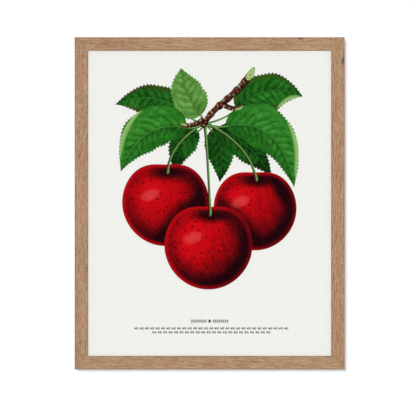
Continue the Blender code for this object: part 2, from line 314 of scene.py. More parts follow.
# %% Hang the lamps
def sun(name, azimuth, elevation, brightness, softness):
    """A distant lamp. brightness is the share of a white surface's full light, where it is met head on."""
    lamp = bpy.data.objects.new(name, bpy.data.lights.new(name, "SUN"))
    lamp.data.energy = brightness * math.pi
    lamp.data.angle = math.radians(softness)
    turn = math.radians(azimuth)
    rise = math.radians(elevation)
    towards = Vector((math.sin(turn) * math.cos(rise), -math.cos(turn) * math.cos(rise), math.sin(rise)))
    lamp.rotation_mode = "QUATERNION"
    lamp.rotation_quaternion = towards.to_track_quat("Z", "Y")
    bpy.context.scene.collection.objects.link(lamp)
    return lamp


ROOM_LIGHT = 0.24
ROOM_IN_REFLECTIONS = 0.36
key = sun("key", -1, 1, 0.76, 8)
wall_lamp = sun("wall_lamp", -11.5, 11.5, 1.68, 12)
side_lamps = [sun("fill_left", -96, 0, 0.42, 8), sun("fill_right", 96, 0, 0.42, 8)]
sun("fill_above", 180, 84, 0.50, 8)
sun("fill_behind", 160, 25, 0.75, 25)
for lamp in [key, *side_lamps]:
    lamp.visible_glossy = False

lit_by_wall_lamp = bpy.data.collections.new("lit_by_wall_lamp")
lit_by_wall_lamp.objects.link(wall)
wall_lamp.light_linking.receiver_collection = lit_by_wall_lamp

# %% [markdown]
# The room gives the rest of the light. It is white to the camera, but dim on surfaces and in reflections:
# picture glass this clear mirrors next to nothing of a dark studio, and the colours under it stay deep.

# %% Light the room
world = bpy.data.worlds.new("studio")
bpy.context.scene.world = world
bpy.context.scene.view_settings.view_transform = "Standard"
room = Finish(world)
seen = room.node("LightPath", out="Is Camera Ray")
mirrored = room.node("LightPath", out="Is Glossy Ray")
strength = ROOM_LIGHT + seen * (1 - ROOM_LIGHT) + mirrored * (ROOM_IN_REFLECTIONS - ROOM_LIGHT)
background = room.tree.nodes["Background"]
room.fill(background.inputs["Color"], (1, 1, 1, 1))
room.fill(background.inputs["Strength"], strength)
print("room light", ROOM_LIGHT, "and in reflections", ROOM_IN_REFLECTIONS)

# %% [markdown]
# ## Oak
# A length of oak has three scales of figure. Growth rings run along it in long wandering lines, a few
# millimetres apart. Between them the wood streaks lighter and darker over the length of a finger, and breaks
# up into flecks. Closest are the pores, short dark dashes that follow the grain. All are stretched clouds of
# noise, so they run through the solid and meet at its corners, which an image wrapped round it wouldn't do.

# %% The colours of oak, from its darkest streaks to its lightest
OAK_SHADES = [
    (0.00, screen(136, 98, 68)),
    (0.30, screen(162, 126, 96)),
    (0.50, screen(175, 140, 110)),
    (0.70, screen(186, 152, 122)),
    (1.00, screen(203, 171, 141)),
]
PORE_COLOUR = screen(112, 78, 54)
PINK_HEART = screen(182, 136, 112)
KNOT_COLOUR = screen(104, 82, 70)
KNOT_DEPTH = 5.0
ARRIS_COLOUR = screen(140, 98, 68)
print(len(OAK_SHADES), "shades of oak")

# %% [markdown]
# One function makes the finish of all four lengths, so that they match as boards of one tree do. It works out
# how far a spot is along the grain, across the face and into the wood, and lays the clouds over each other. A
# knot pushes the grain aside, and the two long edges of the front face are a little darker and browner.

# %% One oak finish for a length whose grain runs its own way
def oak(name, grain_along, outwards, seed, calm=0.0, knots=()):
    """grain_along is 0 for a rail and 2 for a stile. outwards turns a place into mm from the opening's edge.
    A calm board, above 0, has longer and paler figure. A knot is (mm along, mm outwards, its half length, its
    half width), and lies in the front face."""
    wood = Finish(name)
    place = wood.millimetres()
    along = place[grain_along] / (1 + calm) + 400 * seed
    across = outwards(place)
    behind_front = (place[1] - FRONT_Y / MM) / KNOT_DEPTH
    deep = place[1] + 31 * seed
    from_inside = across

    def cloud(long_mm, wide_mm, sideways, detail=2.0, shift=0.0):
        """Noise whose spots are that long along the grain and that wide across it."""
        return wood.noise(along / long_mm + shift, sideways / wide_mm, deep / wide_mm, detail)

    knot_core = 0.0
    for knot_along, knot_across, half_length, half_width in knots:
        left = (place[grain_along] - knot_along) / half_length
        up = (across - knot_across) / half_width
        away = wood.length(left, up, behind_front)
        knot_core = wood.math("MAXIMUM", knot_core, 1 - wood.smooth(away, 0.55, 1.25))
        across = across + up * 1.5 * (1 - wood.smooth(away, 0.6, 3.2))

    rings = across * 0.8 + deep * 0.55 + cloud(70, 22, across, 1.0) * 4.5
    ring = wood.math("SINE", rings * 1.75)
    slope = across + cloud(26, 14, across) * 1.6
    streak = cloud(13, 1.7, slope, 3.0, shift=ring * 0.15)
    patch = cloud(60, 9, across, 1.0)
    fleck = cloud(3.6, 1.3, slope)
    fibre = cloud(6, 0.5, slope)
    figure = streak * 0.35 + patch * 0.10 + ring * 0.08 + fibre * 0.14 + fleck * 0.32
    colour = wood.shades(0.5 + 0.12 * calm + figure * (1 - 0.4 * calm), OAK_SHADES)
    heart = wood.smooth(cloud(30, 7, across, shift=9), -0.2, 1.0)
    colour = wood.blend(colour, PINK_HEART, heart * 0.4)

    pore = wood.smooth(cloud(5, 0.8, slope) + fibre * 0.3, 0.45, 1.05)
    colour = wood.blend(colour, PORE_COLOUR, pore * 0.55)
    colour = wood.blend(colour, KNOT_COLOUR, knot_core * 0.8)
    inner_edge = 1 - wood.smooth(from_inside, 0.3, 1.5)
    outer_edge = wood.smooth(from_inside, FACE_WIDTH / MM - 2.2, FACE_WIDTH / MM - 0.4)
    colour = wood.blend(colour, ARRIS_COLOUR, inner_edge * 0.10 + outer_edge * 0.60)

    relief = streak * 0.25 + fleck * 0.1 + fibre * 0.25 - pore
    wood.set(Base_Color=colour, Roughness=0.58 + streak * 0.06 + pore * 0.12, Specular_IOR_Level=0.10)
    wood.set(Normal=wood.bump(relief, 0.10 * MM, 0.6))
    return wood


print("oak() makes a finish for each length")

# %% [markdown]
# The four lengths are cut from different boards, so each has its own seed. Two knots show in the photograph,
# one at the top rail's upper edge and one at the right stile's outer edge, where the grain parts round them.
# A knot is a dark oval in which the wood is greyer, with the rings squeezed past it.

# %% Finish the four lengths
KNOT_ON_RAIL = (146, 20.5, 5.5, 3.2)
KNOT_ON_STILE = (-27, 19.0, 6.5, 3.4)
ALONG_X, ALONG_Z = 0, 2
side_mm = SIGHT_X / MM
top_mm = (CENTRE_Z + SIGHT_Z) / MM
bottom_mm = (CENTRE_Z - SIGHT_Z) / MM

oak("oak_top", ALONG_X, lambda p: p[2] - top_mm, 1, 0.25, [KNOT_ON_RAIL]).put_on("rail_top")
oak("oak_bottom", ALONG_X, lambda p: bottom_mm - p[2], 2, 0.3).put_on("rail_bottom")
oak("oak_left", ALONG_Z, lambda p: -side_mm - p[0], 3).put_on("stile_left")
oak("oak_right", ALONG_Z, lambda p: p[0] - side_mm, 4, 0.05, [KNOT_ON_STILE]).put_on("stile_right")
print("four lengths of oak finished")

# %% [markdown]
# ## Glass
# Picture glass with a thin anti-reflection coat mirrors well under a hundredth of light met head on, and more
# as the view slants. A shader that bends light would scatter the room's light under it in noisy specks. So
# the sheet is plain transparency, with a mirror mixed in that grows with the fifth power of the slant.

# %% Finish the glazing
HEAD_ON_SHARE = 0.0015

glazing = Finish("coated_picture_glass")
slant = glazing.node("LayerWeight", sockets={"Blend": 0.5}, out=1)
mirror_share = HEAD_ON_SHARE + (1 - HEAD_ON_SHARE) * slant ** 5
clear = glazing.node("BsdfTransparent", sockets={0: (0.996, 0.999, 0.998, 1)})
mirror = glazing.node("BsdfGlossy", sockets={"Color": (1, 1, 1, 1), "Roughness": 0.03})
pane = glazing.node("MixShader", sockets={0: mirror_share, 1: clear, 2: mirror})
glazing.tree.links.new(pane.socket, glazing.tree.nodes["Material Output"].inputs["Surface"])
glazing.put_on("glazing")
print("glass mirrors", HEAD_ON_SHARE, "of the light head on")

# %% [markdown]
# ## Paper
# The print is on thick uncoated art paper, a shade off white, with the faint mottle and tooth of its fibres.
# Both are far finer than a pixel here, but they keep the sheet from looking like plastic close by.

# %% Finish the printed sheet
PAPER_SHADES = [(0.0, screen(236, 235, 231)), (0.5, screen(240, 239, 235)), (1.0, screen(243, 241, 238))]

paper = Finish("art_paper")
x, y, z = paper.millimetres()
mottle = paper.noise(x / 9, y, z / 14, detail=3.0)
tooth = paper.noise(x / 0.5, y / 0.5, z / 0.5)
paper.set(Base_Color=paper.shades(0.5 + mottle * 0.16 + tooth * 0.10, PAPER_SHADES))
paper.set(Roughness=0.85, Specular_IOR_Level=0.05, Normal=paper.bump(tooth, 0.03 * MM, 0.5))
paper.put_on("print_sheet")
print("paper finished")

# %% [markdown]
# ## Drawing with flat shapes
# The design is printed in layers of ink, and it is built the same way. Each leaf, fruit or stalk is a flat
# mesh cut to its outline, and the layers lie a few hundredths of a millimetre apart in front of the paper. A
# shape carries measures of itself at each corner, such as how far along a leaf it is, and its ink reads them.
# So a vein follows the leaf however it bends, and outlines stay sharp from close by.

# %% A flat shape with its measures
LAYER_STEP = 0.025 * MM


def printed(name, layer, places, faces, finish):
    """A flat piece of the design, facing the viewer. places are (x, z) in mm from the print's middle."""
    y = PRINT_Y - layer * LAYER_STEP
    mesh = bpy.data.meshes.new(name)
    mesh.from_pydata([(x * MM, y, CENTRE_Z + z * MM) for x, z in places], [], faces)
    mesh.materials.append(finish.material)
    for polygon in mesh.polygons:
        if polygon.normal.y > 0:
            polygon.flip()
    shape = bpy.data.objects.new(name, mesh)
    bpy.context.scene.collection.objects.link(shape)
    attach(shape, "root")
    return shape


def flat_shape(name, layer, measures, rows, finish):
    """Rows of spots, all as long, joined row to row. A spot is its place, then a number for each measure."""
    width = len(rows[0])
    faces = []
    for i in range(len(rows) - 1):
        for j in range(width - 1):
            a = i * width + j
            faces.append((a, a + 1, a + width + 1, a + width))
    spots = [spot for row in rows for spot in row]
    shape = printed(name, layer, [spot[0] for spot in spots], faces, finish)
    for number, measure in enumerate(measures, start=1):
        attribute = shape.data.attributes.new(measure, "FLOAT", "POINT")
        attribute.data.foreach_set("value", [spot[number] for spot in spots])


def ink(name):
    """A matte printing ink, a little smoother than the paper."""
    made = Finish(name)
    made.set(Roughness=0.7, Specular_IOR_Level=0.02)
    return made


print("ink layers are", LAYER_STEP / MM, "mm apart")

# %% [markdown]
# A leaf or a stalk is a strip along a curve, which runs from its first point to its last and is pulled by the
# one between. Plain functions of the share of the way along then give the width.

# %% Curves for leaves and stalks
def curve_place(points, share):
    """The place at that share of the way, found by dividing the gaps between the points again and again."""
    while len(points) > 1:
        points = [a.lerp(b, share) for a, b in zip(points, points[1:])]
    return points[0]


def along_curve(points, steps):
    """(place, direction to its left, mm from the start) at each step."""
    points = [Vector(point) for point in points]
    places = [curve_place(points, i / steps) for i in range(steps + 1)]
    travelled = 0.0
    found = []
    for i, place in enumerate(places):
        ahead = places[min(i + 1, steps)] - places[max(i - 1, 0)]
        if i > 0:
            travelled += (place - places[i - 1]).length
        found.append((place, Vector((-ahead.y, ahead.x)).normalized(), travelled))
    return found


print("a straight curve's middle:", tuple(curve_place([Vector((0, 0)), Vector((2, 0))], 0.5)))

# %% [markdown]
# ## Leaves
# A fruit tree's leaf is widest before its middle, drawn out to a point, and saw-toothed along its edge, with
# the teeth leaning to the tip. Its veins leave the midrib in pairs and bend forwards as they near the edge.
# The leaf puffs up between them, which an engraver shows as a light and a dark band for each vein.

# %% The outline of a leaf
TOOTH_MM = 5.8
TOOTH_HEIGHT_MM = 3.2
ROW_MM = 0.8
LEAF_COLUMNS = 8


def leaf_width(share):
    """The half width, as a share of the widest, from the stalk to the tip."""
    body = (share ** 0.58) * ((1 - share) ** 0.95) / 0.352
    point = 1 - 0.35 * max(0.0, (share - 0.72) / 0.28) ** 1.2
    return body * point


def tooth(travelled):
    """How far a saw-toothed margin stands out, in mm: each tooth rises slowly and drops at its end."""
    share = travelled / TOOTH_MM % 1
    return TOOTH_HEIGHT_MM * min(share / 0.7, (1 - share) / 0.3)


def leaf(name, layer, curve, left_mm, right_mm, finish):
    """A leaf along the curve, from its stalk to its tip. The two halves may differ, as they do when it tilts.
    Each margin counts its teeth along its own length, so they stay one size on the inside of a bend."""
    steps = round(along_curve(curve, 40)[-1][2] / ROW_MM)
    sides = [2 * j / LEAF_COLUMNS - 1 for j in range(LEAF_COLUMNS + 1)]
    margins = {-1: [None, 0.0], 1: [None, 0.0]}
    rows = []
    for i, (place, leftwards, travelled) in enumerate(along_curve(curve, steps)):
        share = i / steps
        half = leaf_width(share) * (1 + 0.05 * math.sin(9 * share + left_mm) + 0.03 * math.sin(23 * share))
        offsets = [side * half * (left_mm if side > 0 else right_mm) for side in sides]
        for end, margin in margins.items():
            bare = place + leftwards * offsets[-1 if end > 0 else 0]
            margin[1] += (bare - margin[0]).length if margin[0] else 0.0
            margin[0] = bare
            offsets[-1 if end > 0 else 0] += end * tooth(margin[1]) * min(1.0, 3 * half)
        rows.append([(place + leftwards * offset, offset, travelled, abs(side), share)
                     for offset, side in zip(offsets, sides)])
    flat_shape(name, layer, ("from_rib", "along_mm", "to_margin", "along"), rows, finish)


print("a leaf's half width at its tenths:", [round(leaf_width(i / 10), 2) for i in range(11)])

# %% [markdown]
# The ink reads those measures. A vein is where the distance along, less a part of the distance from the rib,
# comes to a whole number of spacings. The same fraction shades the puffed wood between, and a streaky noise
# laid along the veins gives the crayon's grain of a stone-printed plate.

# %% The ink of a leaf
VEIN_SPACING_MM = 12.5
GREEN_STOPS = (0.05, 0.36, 0.62, 0.95)
BROWN_MARGIN = screen(74, 46, 18)
DEEP_GREEN = [screen(9, 38, 10), screen(20, 74, 17), screen(32, 106, 27), screen(52, 134, 42)]
FRESH_GREEN = [screen(20, 66, 16), screen(30, 98, 24), screen(44, 124, 36), screen(76, 150, 58)]
PALE_GREEN = [screen(62, 100, 38), screen(78, 128, 50), screen(96, 152, 66), screen(128, 178, 96)]


def leaf_ink(name, greens, vein_colour, vein_strength, left_light, right_light, seed, shadows=(), blush=0.0):
    """greens are four shades from dark to light. The two lights raise or lower each half's tone. A shadow is
    (x, z, radius) in mm, and blush is how brown the margin is."""
    made = ink(name)
    from_rib = made.named("from_rib")
    along_mm = made.named("along_mm")
    to_margin = made.named("to_margin")
    along = made.named("along")
    out = made.math("ABSOLUTE", from_rib)
    left = made.smooth(from_rib, -0.4, 0.4)

    uneven = made.noise(along_mm / 17 + seed, left * 9, seed, detail=1.0)
    wander = made.noise(along_mm / 26 + seed, from_rib / 20, seed, detail=1.0)
    row = (along_mm - out * 0.62 - out * out * 0.006 + uneven * 3.6 + wander * 1.6) / VEIN_SPACING_MM
    part = made.math("FRACT", row + 40 + left * 0.42)
    to_vein = (part - 0.5) * (VEIN_SPACING_MM * 0.85)
    vein = made.line(to_vein, 0.18, 0.60) * (1 - made.smooth(to_margin, 0.55, 0.95))
    puff = made.math("SINE", part * (2 * math.pi) + 0.6) * (1 - made.smooth(to_margin, 0.35, 1.05))
    rib = made.line(out, 0.45, 0.5) * (1 - made.smooth(along, 0.75, 1.0))

    brush = made.noise(row * 8 + seed, out / 8, seed, detail=3.0)
    stroke = made.smooth(brush, 0.15, 0.75)
    cloud = made.noise(along_mm / 18 + seed, from_rib / 11, seed + 3.0)
    crayon = made.noise(along_mm / 1.9, from_rib / 1.9, seed, detail=2.0)
    net = made.line(made.noise(along_mm / 7, from_rib / 7, seed + 1.5, detail=2.0), 0.04, 0.22)
    half_light = right_light + left * (left_light - right_light)
    at_stalk = 1 - made.smooth(along, 0.0, 0.35)
    trough = made.line(out, 0.5, 7.0)
    tone = 0.60 + half_light + puff * 0.16 + brush * 0.08 + cloud * 0.20 + crayon * 0.18
    tone = tone - stroke * 0.17 - at_stalk * 0.16 - trough * 0.14 - net * 0.13
    for x, z, radius in shadows:
        tone = tone - made.near(x, z, radius, 14) * 0.34
    colour = made.shades(tone, list(zip(GREEN_STOPS, greens)))
    tinged = made.smooth(to_margin + cloud * 0.25, 0.62, 1.0) * blush
    colour = made.blend(colour, BROWN_MARGIN, tinged)
    colour = made.blend(colour, vein_colour, made.math("MAXIMUM", vein * 0.8, rib) * vein_strength)
    colour = made.blend(colour, greens[0], made.smooth(to_margin, 0.90, 1.0) * 0.2)
    made.set(Base_Color=colour)
    return made


print("veins are", VEIN_SPACING_MM, "mm apart")

# %% [markdown]
# Where a leaf's edge rolls over, its pale underside shows as a narrow crescent: a strip whose outer edge lies
# on the leaf's margin and whose width swells and dies away again.

# %% The rolled edge of a leaf
ROLL_STEPS = 40
ROLL_BEYOND_MM = 0.8
LEAST_ROLL_MM = 0.05


def rolled_edge(name, layer, curve, half_mm, start, end, thick_mm, finish):
    """half_mm is the leaf's half width on that side, less than 0 on the right. start and end are shares."""
    rows = []
    for i, (place, leftwards, _) in enumerate(along_curve(curve, ROLL_STEPS)):
        share = i / ROLL_STEPS
        if not start <= share <= end:
            continue
        thick = thick_mm * math.sin(math.pi * (share - start) / (end - start)) ** 0.8
        outer = half_mm * leaf_width(share) + math.copysign(ROLL_BEYOND_MM, half_mm)
        inner = outer - math.copysign(max(thick, LEAST_ROLL_MM), half_mm)
        rows.append([(place + leftwards * outer, 0.0, share), (place + leftwards * inner, 1.0, share)])
    flat_shape(name, layer, ("inwards", "along"), rows, finish)


def rolled_ink(name, light, dark):
    made = ink(name)
    fold = made.smooth(made.named("inwards"), 0.35, 1.0)
    grain = made.noise(made.named("along") * 60, fold * 3, 0.5)
    made.set(Base_Color=made.blend(light, dark, fold * 0.75 + grain * 0.12))
    return made


print("rolled edges ready")

# %% [markdown]
# The design is laid out in millimetres from the middle of the print. The leaves spring from one spur near
# the top and fan out to both sides, some behind the fruit and some before it. What lies behind takes a soft
# shadow from what hangs before it, given as discs: the cherries, and one under each large leaf.

# %% Lay out the design
SPUR = (-8, 128)
CHERRIES = {
    "cherry_left": ((-71, 0), 69),
    "cherry_right": ((73, -10), 66),
    "cherry_front": ((-2, -69), 70),
}
LEAF_CURVES = {
    "leaf_far_left": [(-34, 140), (-84, 188), (-152, 159)],
    "leaf_low_left": [(-38, 121), (-110, 138), (-143, 51)],
    "leaf_high": [(-14, 142), (-42, 174), (-46, 218)],
    "leaf_high_right": [(44, 152), (92, 200), (150, 172)],
    "leaf_right": [(26, 124), (116, 142), (136, 26)],
    "leaf_behind": [(2, 118), (26, 96), (16, 34)],
    "leaf_shade": [(14, 118), (62, 104), (100, 44)],
    "leaf_small": [(-18, 116), (-52, 96), (-54, 50)],
}
cherry_discs = [(*middle, radius + 2) for middle, radius in CHERRIES.values()]
under_left, under_right = (-92, 124, 30), (84, 124, 32)
print(len(LEAF_CURVES), "leaves and", len(CHERRIES), "cherries laid out")

# %% [markdown]
# Each leaf has a layer, two half widths and an ink of its own, whose seed keeps any two from looking alike.
# Three deep green ones hang in the shade behind the fruit, two with brown margins reach out above it, a young
# pale one stands up, and two large fresh ones hang in front. Three of the eight have a rolled edge.

# %% Place the leaves
def place_leaf(name, layer, left_mm, right_mm, *about_its_ink):
    """about_its_ink is what leaf_ink() takes after its name."""
    leaf(name, layer, LEAF_CURVES[name], left_mm, right_mm, leaf_ink("ink_" + name, *about_its_ink))


SHADED_VEIN, FRESH_VEIN = screen(60, 116, 50), screen(84, 148, 66)
place_leaf("leaf_behind", 1, 20, 22, DEEP_GREEN, SHADED_VEIN, 0.35, -0.14, -0.22, 11, cherry_discs)
place_leaf("leaf_shade", 2, 20, 24, DEEP_GREEN, SHADED_VEIN, 0.35, -0.26, -0.16, 18, cherry_discs)
place_leaf("leaf_small", 3, 17, 21, DEEP_GREEN, SHADED_VEIN, 0.35, -0.06, -0.20, 12, cherry_discs)
place_leaf("leaf_far_left", 4, 33, 21,
           DEEP_GREEN, screen(70, 134, 58), 0.45, 0.08, -0.08, 14, [under_left], 0.55)
place_leaf("leaf_high_right", 5, 27, 34,
           DEEP_GREEN, screen(64, 128, 54), 0.45, 0.0, 0.08, 15, [under_right], 0.45)
place_leaf("leaf_high", 6, 26, 26, PALE_GREEN, screen(72, 104, 40), 0.75, 0.05, 0.0, 13)
place_leaf("leaf_low_left", 11, 27, 36, FRESH_GREEN, FRESH_VEIN, 0.50, -0.12, 0.08, 16)
place_leaf("leaf_right", 12, 36, 27, FRESH_GREEN, FRESH_VEIN, 0.50, 0.08, -0.14, 17)

pale_roll = rolled_ink("ink_rolled_edge", screen(142, 186, 108), screen(80, 128, 52))
rolled_edge("rolled_edge_low_left", 13, LEAF_CURVES["leaf_low_left"], -36, 0.42, 0.90, 9, pale_roll)
rolled_edge("rolled_edge_right", 14, LEAF_CURVES["leaf_right"], 36, 0.50, 0.96, 8, pale_roll)
rolled_edge("rolled_edge_high_right", 15, LEAF_CURVES["leaf_high_right"], -34, 0.62, 0.99, 9, pale_roll)
print(len(LEAF_CURVES), "leaves placed")

# %% [markdown]
# ## Fruit
# Three ripe cherries hang from the spur. A printed sphere is all shading: bright red facing the light, dark
# red towards the shade, nearly black under its neighbour, and a thin band of red again at the very rim, where
# light creeps round. A dark hollow takes the stalk, and fine dots cover the skin.

# %% The outline of a cherry
FRUIT_RINGS = 22
FRUIT_SIDES = 96


def fruit_reach(turn):
    """How far the outline is from the middle at that turn, as a share of the radius."""
    from_top = math.degrees(math.atan2(math.sin(turn - math.pi / 2), math.cos(turn - math.pi / 2)))
    dip = 0.075 * math.exp(-((from_top / 21) ** 2))
    shoulders = 0.022 * math.exp(-(((abs(from_top) - 42) / 22) ** 2))
    return 1 - dip + shoulders + 0.012 * math.cos(2 * turn) + 0.008 * math.sin(3 * turn)


def fruit(name, layer, middle, radius, finish):
    rows = []
    for i in range(FRUIT_RINGS + 1):
        share = i / FRUIT_RINGS
        ring = []
        for j in range(FRUIT_SIDES + 1):
            turn = 2 * math.pi * j / FRUIT_SIDES
            out = radius * share * fruit_reach(turn)
            u, v = out * math.cos(turn), out * math.sin(turn)
            ring.append(((middle[0] + u, middle[1] + v), u / radius, v / radius, share))
        rows.append(ring)
    flat_shape(name, layer, ("across", "up", "reach"), rows, finish)


print("a cherry's outline dips at the top to", round(fruit_reach(math.pi / 2), 3), "of its radius")

# %% [markdown]
# The ink works out how much each spot would face a lamp if the disc were a ball, and shades by that. The
# shadows of its neighbours and leaves are soft discs that darken it, given as (across, up, radius) in the
# fruit's own radii.

# %% The ink of a cherry
CHERRY_REDS = [
    (0.02, screen(30, 3, 8)),
    (0.25, screen(74, 5, 11)),
    (0.49, screen(124, 6, 12)),
    (0.71, screen(174, 6, 14)),
    (0.90, screen(206, 9, 22)),
]
LAMP_ACROSS, LAMP_UP, LAMP_TOWARDS = -0.46, 0.40, 0.79
HOLLOW = (0.04, 0.70)
DOTS_PER_RADIUS = 4.8
DOT_RED, RIM_RED, GLINT_PINK = screen(44, 3, 10), screen(188, 10, 20), screen(228, 84, 86)


def fruit_ink(name, seed, shadows):
    made = ink(name)
    across = made.named("across")
    up = made.named("up")
    reach = made.named("reach")
    towards = made.math("SQRT", made.math("MAXIMUM", 1 - reach * reach, 0.0))
    facing_lamp = across * LAMP_ACROSS + up * LAMP_UP + towards * LAMP_TOWARDS
    grain = made.noise(across * 30 + seed, up * 30, seed, detail=3.0)
    sweep = made.noise(across * 3 + seed, up * 3, seed, detail=2.0)
    tone = 0.15 + facing_lamp * 0.78 + grain * (0.20 - facing_lamp * 0.07) + sweep * 0.08
    tone = tone - made.smooth(reach, 0.50, 0.82) * 0.24

    right_of_stalk = across - HOLLOW[0]
    under_stalk = HOLLOW[1] - up
    from_hollow = made.length(right_of_stalk / 0.50, under_stalk / 0.20)
    tone = tone - (1 - made.smooth(from_hollow, 0.15, 1.15)) * 0.50
    crease = made.line(right_of_stalk - under_stalk * 0.12 * (up + 1), 0.0, 0.075)
    tone = tone - crease * (1 - made.smooth(reach, 0.7, 1.0)) * 0.05
    for shadow_x, shadow_z, radius in shadows:
        away = made.length(across - shadow_x, up - shadow_z)
        tone = tone - (1 - made.smooth(away, radius, radius + 0.28)) * 0.42
    spoke = made.math("ARCTAN2", right_of_stalk, under_stalk + 0.25)
    tone = tone + made.noise(spoke * 9 + seed, reach * 1.2, seed, detail=3.0) * 0.06

    colour = made.shades(tone, CHERRY_REDS)
    nearest = made.dots(across * DOTS_PER_RADIUS + seed, up * DOTS_PER_RADIUS)
    colour = made.blend(colour, DOT_RED, (1 - made.smooth(nearest, 0.06, 0.16)) * 0.85)
    lit_side = made.smooth(across * 0.6 - up * 0.25, 0.6, -0.3)
    rim = made.smooth(reach, 0.88, 0.985) * (0.35 + 0.65 * lit_side)
    colour = made.blend(colour, RIM_RED, rim * (0.85 - grain * 0.15))
    glint_x = (across + 0.36) / 0.24
    glint_z = (up - 0.28 - across * 0.25) / 0.15
    glint = 1 - made.smooth(glint_x * glint_x + glint_z * glint_z + grain * 0.45, 0.0, 1.2)
    colour = made.blend(colour, GLINT_PINK, glint * 0.42)
    made.set(Base_Color=colour)
    return made


print("cherry reds:", len(CHERRY_REDS))

# %% [markdown]
# The front cherry shades the two behind it. The shadow is its own disc, turned into the radii of the fruit it
# falls on, so it stays right wherever the cherries are moved. A leaf shades the right one too.

# %% Place the cherries
SHADOW_BEYOND = 0.02
LEAF_SHADOW = (0.95, 0.72, 0.38)


def front_shadow(name):
    (x, z), radius = CHERRIES[name]
    (front_x, front_z), front_radius = CHERRIES["cherry_front"]
    return ((front_x - x) / radius, (front_z - z) / radius, front_radius / radius + SHADOW_BEYOND)


def place_cherry(name, layer, seed, *shadows):
    fruit(name, layer, *CHERRIES[name], fruit_ink("ink_" + name, seed, shadows))


place_cherry("cherry_left", 7, 3.1, front_shadow("cherry_left"))
place_cherry("cherry_right", 8, 7.7, front_shadow("cherry_right"), LEAF_SHADOW)
place_cherry("cherry_front", 9, 12.4)
print(len(CHERRIES), "cherries placed")

# %% [markdown]
# ## Stalks and the twig
# A stalk is a ribbon along a curve, green on its lit side and dark red on the other. The twig is a stouter
# ribbon, knobbly where buds once sat, with pale scars, ring marks and a cut end.

# %% A ribbon along a curve
RIBBON_COLUMNS = 6


def ribbon(name, layer, curve, half_width, finish, steps=60):
    """half_width turns the share of the way along into mm."""
    sides = [2 * j / RIBBON_COLUMNS - 1 for j in range(RIBBON_COLUMNS + 1)]
    rows = []
    for i, (place, leftwards, travelled) in enumerate(along_curve(curve, steps)):
        share = i / steps
        half = half_width(share)
        rows.append([(place + leftwards * side * half, side, travelled, share) for side in sides])
    flat_shape(name, layer, ("side", "along_mm", "along"), rows, finish)


def stalk_ink(name, light, dark):
    """Light on the right of the way along, and dark on its left."""
    made = ink(name)
    side = made.named("side")
    grain = made.noise(made.named("along_mm") / 5, side * 2, 0.5)
    shade = made.smooth(side + grain * 0.15, -0.25, 0.45)
    made.set(Base_Color=made.blend(light, dark, shade))
    return made


print("a ribbon is", RIBBON_COLUMNS, "strips wide")

# %% [markdown]
# A cherry's stalk is long and thin, with a knob in the fruit's hollow and a wider end on the spur. The point
# that pulls its middle lies a little to one side, so it hangs in a slight curve.

# %% The cherries' stalks
cherry_stalk_ink = stalk_ink("ink_stalk", screen(98, 152, 74), screen(62, 12, 18))


def stalk_width(share):
    """In mm, from the foot in the cherry's hollow, which is a rounded knob, to the spur."""
    knob = math.sqrt(min(1.0, 30 * share))
    return (1.9 + 1.7 * (1 - share) ** 12) * knob + 1.1 * share ** 6


for name, ((x, z), radius) in CHERRIES.items():
    foot = (x + HOLLOW[0] * radius, z + HOLLOW[1] * radius - 1.5)
    middle = (foot[0] * 0.92 - 3, foot[1] + (SPUR[1] - foot[1]) * 0.62)
    top = (SPUR[0] + foot[0] * 0.05, SPUR[1])
    ribbon("stalk_" + name, 10, [foot, middle, top], stalk_width, cherry_stalk_ink)
print("stalks placed")

# %% [markdown]
# The leaves have stalks too, thinner ones, from the spur to where each leaf begins.

# %% The leaves' own stalks
leaf_stalk_ink = stalk_ink("ink_leaf_stalk", screen(112, 164, 82), screen(40, 92, 36))
FRONT_LEAVES = ("leaf_low_left", "leaf_right")
BEHIND_FRUIT, BEFORE_FRUIT = 6.5, 16


def leaf_stalk_width(share):
    return 1.7 - 0.5 * share


for name, curve in LEAF_CURVES.items():
    layer = BEFORE_FRUIT if name in FRONT_LEAVES else BEHIND_FRUIT
    spur, first, second = Vector(SPUR), Vector(curve[0]), Vector(curve[1])
    lead = first + (first - second).normalized() * (first - spur).length * 0.45
    blade = first + (second - first).normalized() * 4
    ribbon("stalk_" + name, layer, [spur, lead, blade], leaf_stalk_width, leaf_stalk_ink, steps=24)
print("leaf stalks placed")

# %% [markdown]
# Bark has a lit side and a dark side, as the stalks have. Rings run round it where each year's bud scales
# fell, and pale green patches show where its skin has worn. All of them read the ribbon's own measures, so
# they bend with the twig.

# %% Bark for the twig
LIT_BARK, DARK_BARK = screen(112, 38, 34), screen(24, 5, 9)
RING_RED, SCAR_GREEN = screen(150, 58, 46), screen(166, 190, 136)

bark = ink("ink_bark")
side = bark.named("side")
run = bark.named("along_mm")
rough = bark.noise(run / 2.6, side * 1.6, 2.0, detail=3.0)
scar = bark.smooth(bark.noise(run / 2.7 + 7, side * 0.7, 5.0, detail=1.0), 0.22, 0.50)
ring_place = bark.math("FRACT", run / 6.5 + rough * 0.06 + side * side * 0.12)
ring_mark = bark.line(ring_place - 0.5, 0.07, 0.07)
ring_light = bark.line(ring_place - 0.72, 0.05, 0.07)
shade = bark.smooth(side + rough * 0.35, -0.9, 0.8)
margin = bark.smooth(bark.math("ABSOLUTE", side + 0.08), 0.62, 0.95)

bark_colour = bark.blend(LIT_BARK, DARK_BARK, shade)
bark_colour = bark.blend(bark_colour, RING_RED, ring_light * (0.8 - shade * 0.6))
bark_colour = bark.blend(bark_colour, SCAR_GREEN, scar * (1.15 - shade))
bark_colour = bark.blend(bark_colour, DARK_BARK, bark.math("MAXIMUM", ring_mark * 0.85, margin * 0.8))
bark.set(Base_Color=bark_colour)
print("bark ready")

# %% [markdown]
# A twig swells at each node, where a leaf or a bud has sat: its width is a plain taper with a narrow bell at
# each. The spur that bears the fruit and a shoot on the other side are short ribbons, and each ends in a bud.

